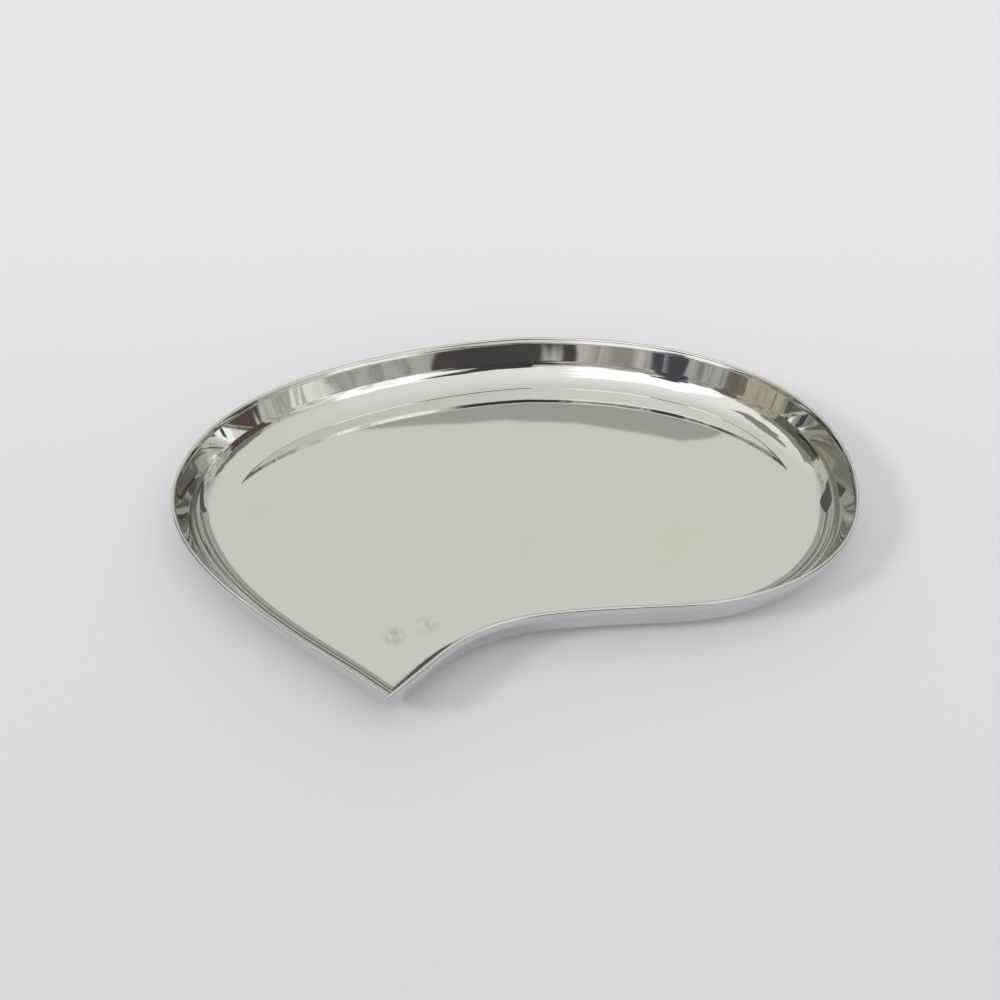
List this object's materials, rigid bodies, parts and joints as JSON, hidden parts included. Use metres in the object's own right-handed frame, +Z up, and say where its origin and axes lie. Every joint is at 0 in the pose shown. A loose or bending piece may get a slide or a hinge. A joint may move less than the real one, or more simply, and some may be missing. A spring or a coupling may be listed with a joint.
{
  "type": "shallow kidney dish",
  "caption": "Shallow polished metal dish with a kidney outline and one pointed corner, for holding instruments and small items.",
  "frame": {"origin": "on the table under the dish, at the middle of its bounding box", "axes": "+X along the length, towards the round end away from the point; +Y towards the long convex edge; -Y is the hollow edge with the point; +Z up out of the dish"},
  "size_m": [0.1788, 0.138, 0.0135],
  "materials": {
    "polished_metal": "mirror polish inside, slightly duller outside and underneath"
  },
  "bodies": {
    "root": {"pressed_dish": "polished_metal"}
  },
  "joints": []
}
